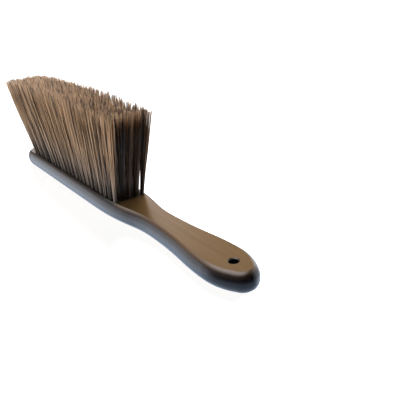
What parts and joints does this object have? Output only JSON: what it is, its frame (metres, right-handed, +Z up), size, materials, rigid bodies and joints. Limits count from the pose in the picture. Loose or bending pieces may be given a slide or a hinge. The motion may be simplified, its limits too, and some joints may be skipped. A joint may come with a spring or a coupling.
{
  "type": "hand broom",
  "caption": "Hand broom with a solid wooden stock and grip, fanned ranks of bristle tufts held by anchor wires, and a hanging hole through the handle end.",
  "frame": {"origin": "middle of the flat back of the stock, half way between the handle end and the head end, on the surface that the broom lies on", "axes": "+X along the broom from the handle end to the head end, +Y across it, +Z up out of the bristle face"},
  "size_m": [0.3571, 0.0366, 0.0836],
  "materials": {
    "stained_wood": "dark brown stain under satin lacquer",
    "bristle": "tapered synthetic filaments, dark root to tan tip",
    "anchor_wire": "drawn flat wire"
  },
  "bodies": {
    "root": {"stock": "stained_wood", "tuft_rank_01": "bristle", "tuft_rank_02": "bristle", "tuft_rank_03": "bristle", "tuft_rank_04": "bristle", "tuft_rank_05": "bristle", "tuft_rank_06": "bristle", "tuft_rank_07": "bristle", "tuft_rank_08": "bristle", "tuft_rank_09": "bristle", "tuft_rank_10": "bristle", "tuft_rank_11": "bristle", "tuft_rank_12": "bristle", "tuft_rank_13": "bristle", "tuft_rank_14": "bristle", "tuft_rank_15": "bristle", "tuft_rank_16": "bristle", "tuft_rank_17": "bristle", "tuft_rank_18": "bristle", "tuft_rank_19": "bristle", "tuft_rank_20": "bristle", "tuft_rank_21": "bristle", "tuft_rank_22": "bristle", "tuft_rank_23": "bristle", "anchor_rank_01": "anchor_wire", "anchor_rank_02": "anchor_wire", "anchor_rank_03": "anchor_wire", "anchor_rank_04": "anchor_wire", "anchor_rank_05": "anchor_wire", "anchor_rank_06": "anchor_wire", "anchor_rank_07": "anchor_wire", "anchor_rank_08": "anchor_wire", "anchor_rank_09": "anchor_wire", "anchor_rank_10": "anchor_wire", "anchor_rank_11": "anchor_wire", "anchor_rank_12": "anchor_wire", "anchor_rank_13": "anchor_wire", "anchor_rank_14": "anchor_wire", "anchor_rank_15": "anchor_wire", "anchor_rank_16": "anchor_wire", "anchor_rank_17": "anchor_wire", "anchor_rank_18": "anchor_wire", "anchor_rank_19": "anchor_wire", "anchor_rank_20": "anchor_wire", "anchor_rank_21": "anchor_wire", "anchor_rank_22": "anchor_wire", "anchor_rank_23": "anchor_wire"}
  },
  "joints": []
}
